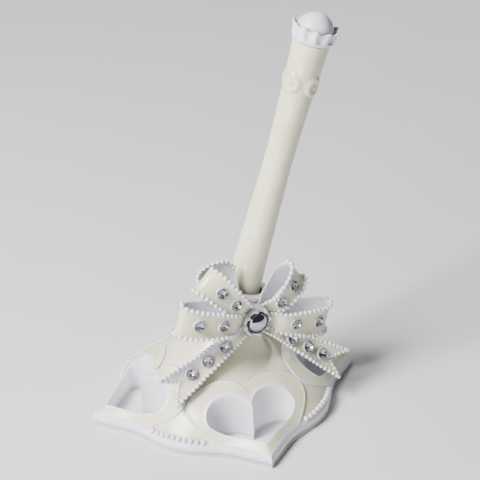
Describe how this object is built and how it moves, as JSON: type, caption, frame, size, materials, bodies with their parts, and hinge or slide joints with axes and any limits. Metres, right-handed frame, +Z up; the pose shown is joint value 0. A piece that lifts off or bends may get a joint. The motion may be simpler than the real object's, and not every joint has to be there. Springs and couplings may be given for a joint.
{
  "type": "wedding guest book pen and stand",
  "caption": "Slanted resin guest-book pen that lifts out of a square heart cut-out stand dressed with a beaded, crystal-set ribbon bow.",
  "frame": {"origin": "centre of the base on the surface it stands on", "axes": "+Z up; -Y is the side that carries the bow; +X is the side the pen leans to; the base's corners lie on X and Y"},
  "size_m": [0.12, 0.12, 0.172],
  "materials": {
    "ivory_resin": "pearl ivory enamel over cast resin, satin",
    "white_resin": "white enamel over cast resin, satin",
    "felt": "off-white felt",
    "sleeve": "dark moulded plastic",
    "setting": "darkened bright metal",
    "mirror_gem": "silver-backed polished glass cabochon",
    "crystal": "foil-backed cut crystal",
    "nose_metal": "polished plated metal",
    "brass": "plain brass"
  },
  "bodies": {
    "stand": {"stand_casting": "ivory_resin", "base_pad": "felt", "socket_sleeve": "sleeve", "plaque_front": "ivory_resin", "plaque_right": "ivory_resin", "plaque_back": "ivory_resin", "plaque_left": "ivory_resin", "beads_front_right": "white_resin", "beads_back_right": "white_resin", "beads_back_left": "white_resin", "beads_front_left": "white_resin", "neck_ribbon": "white_resin", "bow_knot": "white_resin", "gem_setting": "setting", "centre_gem": "mirror_gem", "loop_upper_left": "ivory_resin", "loop_upper_right": "ivory_resin", "loop_lower_left": "ivory_resin", "loop_lower_right": "ivory_resin", "tail_left": "ivory_resin", "tail_right": "ivory_resin", "edging_upper_left": "white_resin", "edging_upper_right": "white_resin", "edging_lower_left": "white_resin", "edging_lower_right": "white_resin", "edging_tail_left": "white_resin", "edging_tail_right": "white_resin", "stone_cups": "white_resin", "rhinestones": "crystal"},
    "pen": {"pen_barrel": "ivory_resin", "barrel_bosses": "white_resin", "finial_ruffle": "white_resin", "finial_dome": "white_resin", "nose_cone": "nose_metal", "refill_tube": "brass", "refill_point": "brass"}
  },
  "joints": [
    {"name": "pen_lift", "type": "slide", "parent": "stand", "child": "pen", "axis": [0.3027, 0, 0.9531], "range_m": [0, 0.065]}
  ]
}
